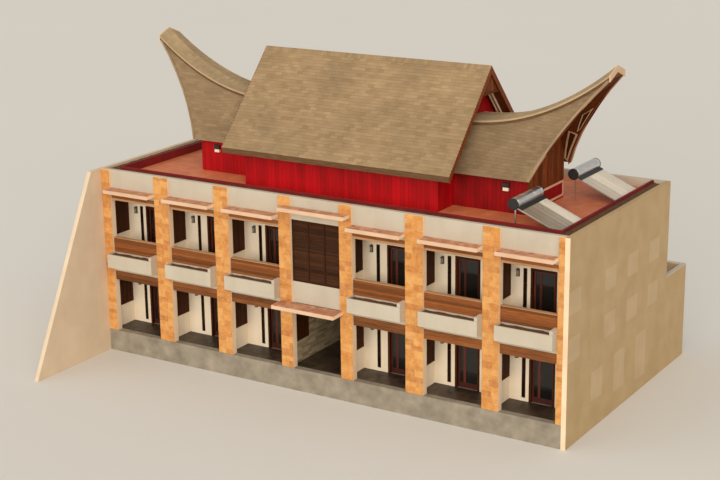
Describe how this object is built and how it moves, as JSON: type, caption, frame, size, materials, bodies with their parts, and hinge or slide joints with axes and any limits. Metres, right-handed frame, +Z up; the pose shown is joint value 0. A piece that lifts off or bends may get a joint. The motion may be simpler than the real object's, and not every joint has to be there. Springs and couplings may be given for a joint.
{
  "type": "rooftop tongkonan house on a two-storey block",
  "caption": "Boat-roofed timber house with upswept prows on the terrace of a two-storey balcony block with stone piers.",
  "frame": {"origin": "middle of the footprint's bounding box, at the foot of the plinth", "axes": "+X along the front to the right as seen from the front, +Y from the front to the back, +Z up"},
  "size_m": [22.36, 16.76, 13.7623],
  "materials": {
    "plaster": "painted plaster, off-white",
    "render": "tan cement render",
    "stone": "split yellow sandstone cladding",
    "concrete": "bare concrete",
    "tile": "terracotta tile",
    "dark_timber": "dark stained timber",
    "plank": "weathered brown planks",
    "red_board": "red painted boards",
    "shingle": "taupe shingles",
    "cap_shingle": "pale taupe ridge shingles",
    "glass": "dark glazing",
    "steel": "stainless steel tank and frame"
  },
  "bodies": {
    "building": {"plinth": "concrete", "left_side_wall": "render", "right_side_wall": "render", "rear_wall": "plaster", "rear_glazing": "glass", "annex_rear_wall": "render", "annex_roof": "concrete", "annex_glazing": "glass", "upper_floor": "concrete", "terrace_floor": "tile", "pier_1": "stone", "pier_2": "stone", "pier_3": "stone", "pier_4": "stone", "pier_5": "stone", "pier_6": "stone", "pier_7": "stone", "pier_8": "stone", "front_fascia": "plaster", "balcony_1": "plaster", "balcony_2": "plaster", "balcony_3": "plaster", "balcony_5": "plaster", "balcony_6": "plaster", "balcony_7": "plaster", "centre_spandrel": "plaster", "centre_screen": "dark_timber", "canopy_1": "tile", "canopy_2": "tile", "canopy_3": "tile", "canopy_4": "tile", "canopy_5": "tile", "canopy_6": "tile", "canopy_7": "tile", "entrance_canopy": "tile", "lower_rooms_left": "plaster", "lower_rooms_right": "plaster", "upper_rooms_left": "plaster", "upper_rooms_right": "plaster", "upper_glazing_left": "glass", "upper_glazing_right": "glass", "terrace_kerb": "red_board", "solar_heater_front": "steel", "solar_heater_rear": "steel", "main_roof": "shingle", "prow_roof_left": "shingle", "prow_roof_right": "shingle", "ridge_cap_left": "cap_shingle", "ridge_cap_right": "cap_shingle", "house_walls": "red_board", "gable_wall_left": "plank", "gable_wall_right": "plank"},
    "door_1": {"door_1": "dark_timber"},
    "door_2": {"door_2": "dark_timber"},
    "door_3": {"door_3": "dark_timber"},
    "door_5": {"door_5": "dark_timber"},
    "door_6": {"door_6": "dark_timber"},
    "door_7": {"door_7": "dark_timber"}
  },
  "joints": [
    {"name": "door_1_hinge", "type": "hinge", "parent": "building", "child": "door_1", "pos_m": [-9.776, -2.013, 2.01], "axis": [0, 0, 1], "range_deg": [0, 95]},
    {"name": "door_2_hinge", "type": "hinge", "parent": "building", "child": "door_2", "pos_m": [-6.396, -2.013, 2.01], "axis": [0, 0, 1], "range_deg": [0, 95]},
    {"name": "door_3_hinge", "type": "hinge", "parent": "building", "child": "door_3", "pos_m": [-3.346, -2.013, 2.01], "axis": [0, 0, 1], "range_deg": [0, 95]},
    {"name": "door_5_hinge", "type": "hinge", "parent": "building", "child": "door_5", "pos_m": [2.614, -2.013, 2.01], "axis": [0, 0, 1], "range_deg": [0, 95]},
    {"name": "door_6_hinge", "type": "hinge", "parent": "building", "child": "door_6", "pos_m": [5.714, -2.013, 2.01], "axis": [0, 0, 1], "range_deg": [0, 95]},
    {"name": "door_7_hinge", "type": "hinge", "parent": "building", "child": "door_7", "pos_m": [8.964, -2.013, 2.01], "axis": [0, 0, 1], "range_deg": [0, 95]}
  ]
}
